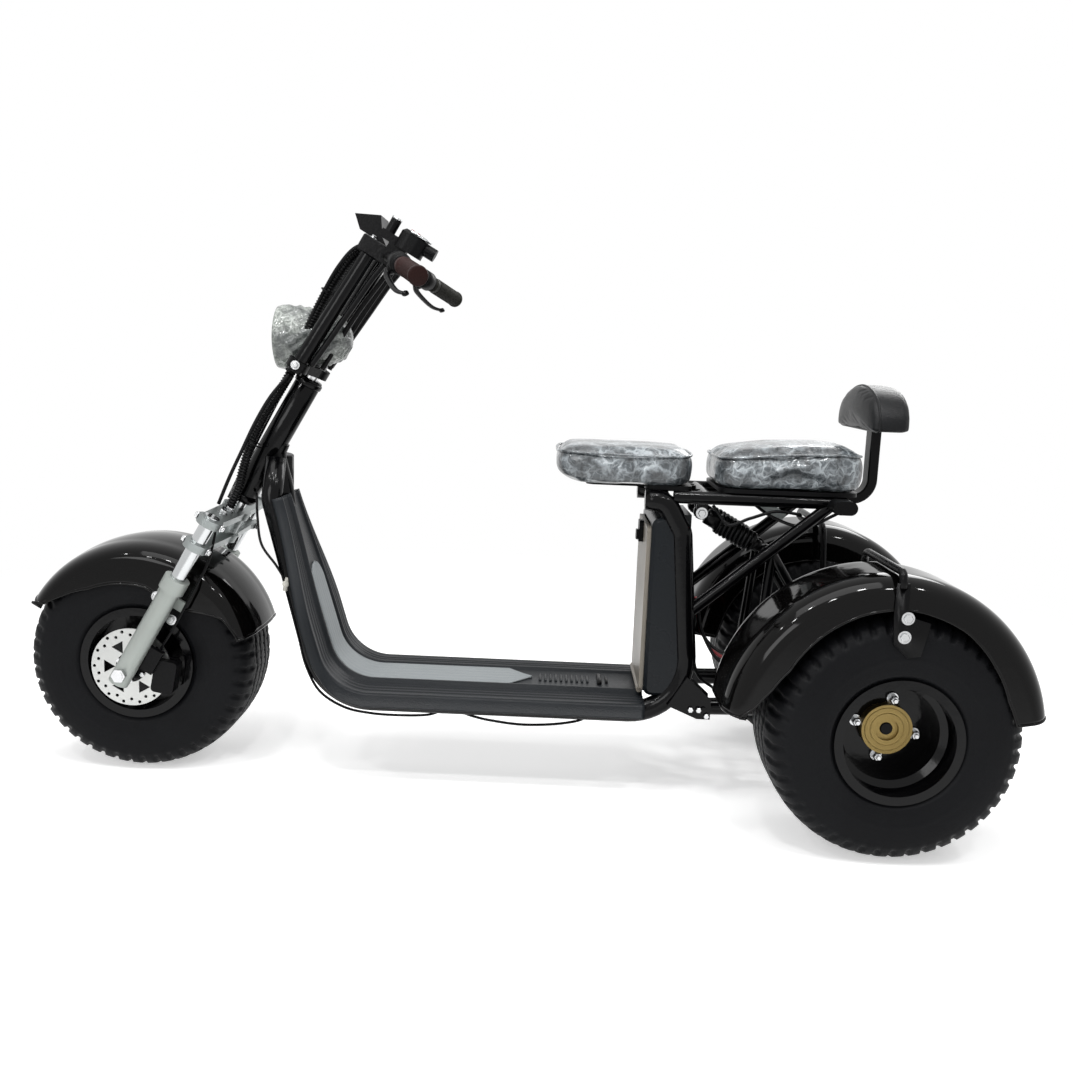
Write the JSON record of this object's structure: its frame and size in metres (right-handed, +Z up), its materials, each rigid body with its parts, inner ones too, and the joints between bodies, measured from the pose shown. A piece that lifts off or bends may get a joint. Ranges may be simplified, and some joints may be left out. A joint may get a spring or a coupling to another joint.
{
  "type": "three-wheel electric scooter",
  "caption": "Open-frame electric scooter with fat tyres, bent tube frame, footboard, rider and pillion seats, backrest, sprung fork and wide handlebar.",
  "frame": {"origin": "on the floor under the middle of the overall length and width", "axes": "+X towards the front wheel, +Y to the rider's left, +Z up"},
  "size_m": [1.9339, 0.801, 1.1282],
  "materials": {
    "frame_paint": "gloss",
    "board_plastic": "satin",
    "mat_rubber": "matte",
    "cover_plastic": "satin",
    "door_plastic": "satin",
    "latch_plastic": "satin",
    "pack_case": "satin",
    "seat_leather": "satin",
    "base_plastic": "matte",
    "pad_leather": "matte",
    "black_metal": "satin",
    "gloss_metal": "gloss",
    "tyre_rubber": "matte",
    "rim_paint": "gloss",
    "disc_steel": "brushed",
    "slider_metal": "satin",
    "stanchion_chrome": "polished",
    "crown_metal": "cast",
    "housing_metal": "painted",
    "motor_metal": "cast",
    "cap_brass": "satin",
    "nut_steel": "polished",
    "reflector_red": "gloss",
    "signal_plastic": "gloss",
    "cable_rubber": "satin",
    "sleeve_plastic": "satin",
    "lamp_shell": "polished",
    "lamp_glass": "clear",
    "grip_rubber": "matte",
    "lever_metal": "satin",
    "display_plastic": "gloss"
  },
  "bodies": {
    "frame": {"frame_left": "frame_paint", "frame_right": "frame_paint", "frame_neck": "frame_paint", "frame_cross": "frame_paint", "arm_lugs": "frame_paint", "footboard": "board_plastic", "floor_mat": "mat_rubber", "battery_box": "cover_plastic", "battery_pack": "pack_case", "seat_frame": "frame_paint", "rider_base": "base_plastic", "rider_seat": "seat_leather", "pillion_base": "base_plastic", "pillion_seat": "seat_leather", "backrest_post": "black_metal", "backrest_pad": "pad_leather", "rear_arm": "frame_paint", "axle_housing": "housing_metal", "drive_motor": "motor_metal", "rear_shocks": "black_metal", "rear_fender_left": "gloss_metal", "rear_fender_right": "gloss_metal", "fender_brackets": "black_metal", "tail_reflector": "reflector_red", "turn_signals": "signal_plastic", "controller": "housing_metal", "frame_cable": "cable_rubber"},
    "battery_door": {"battery_door": "door_plastic", "door_latch": "latch_plastic"},
    "steering": {"lower_crown": "crown_metal", "steerer": "stanchion_chrome", "stanchions": "stanchion_chrome", "slider_left": "slider_metal", "slider_right": "slider_metal", "front_axle": "nut_steel", "front_fender": "gloss_metal", "upper_yoke": "crown_metal", "steerer_nut": "nut_steel", "handlebar": "black_metal", "risers": "black_metal", "bar_clamp": "black_metal", "instrument": "display_plastic", "headlight": "lamp_shell", "headlight_lens": "lamp_glass", "lamp_stubs": "black_metal", "grips": "grip_rubber", "brake_levers": "lever_metal", "brake_caliper": "black_metal", "cable_sleeve": "sleeve_plastic"},
    "front_wheel": {"front_tyre": "tyre_rubber", "front_rim": "rim_paint", "brake_disc": "disc_steel"},
    "rear_wheel_left": {"rear_tyre_left": "tyre_rubber", "rear_rim_left": "rim_paint", "rear_hub_left": "housing_metal", "hub_cap_left": "cap_brass"},
    "rear_wheel_right": {"rear_tyre_right": "tyre_rubber", "rear_rim_right": "rim_paint", "rear_hub_right": "housing_metal", "hub_cap_right": "cap_brass"}
  },
  "joints": [
    {"name": "steering_turn", "type": "hinge", "parent": "frame", "child": "steering", "pos_m": [0.7396, 0, 0.228], "axis": [-0.4909, 0, 0.8712], "range_deg": [-30, 30]},
    {"name": "front_wheel_spin", "type": "hinge", "parent": "steering", "child": "front_wheel", "pos_m": [0.7396, 0, 0.228], "axis": [0, 1, 0], "continuous": true},
    {"name": "rear_left_spin", "type": "hinge", "parent": "frame", "child": "rear_wheel_left", "pos_m": [-0.7064, 0.28, 0.228], "axis": [0, 1, 0], "continuous": true},
    {"name": "rear_right_spin", "type": "hinge", "parent": "frame", "child": "rear_wheel_right", "pos_m": [-0.7064, -0.28, 0.228], "axis": [0, 1, 0], "continuous": true},
    {"name": "battery_door_swing", "type": "hinge", "parent": "frame", "child": "battery_door", "pos_m": [-0.2757, 0, 0.214], "axis": [0, 1, 0], "range_deg": [0, 80]}
  ]
}
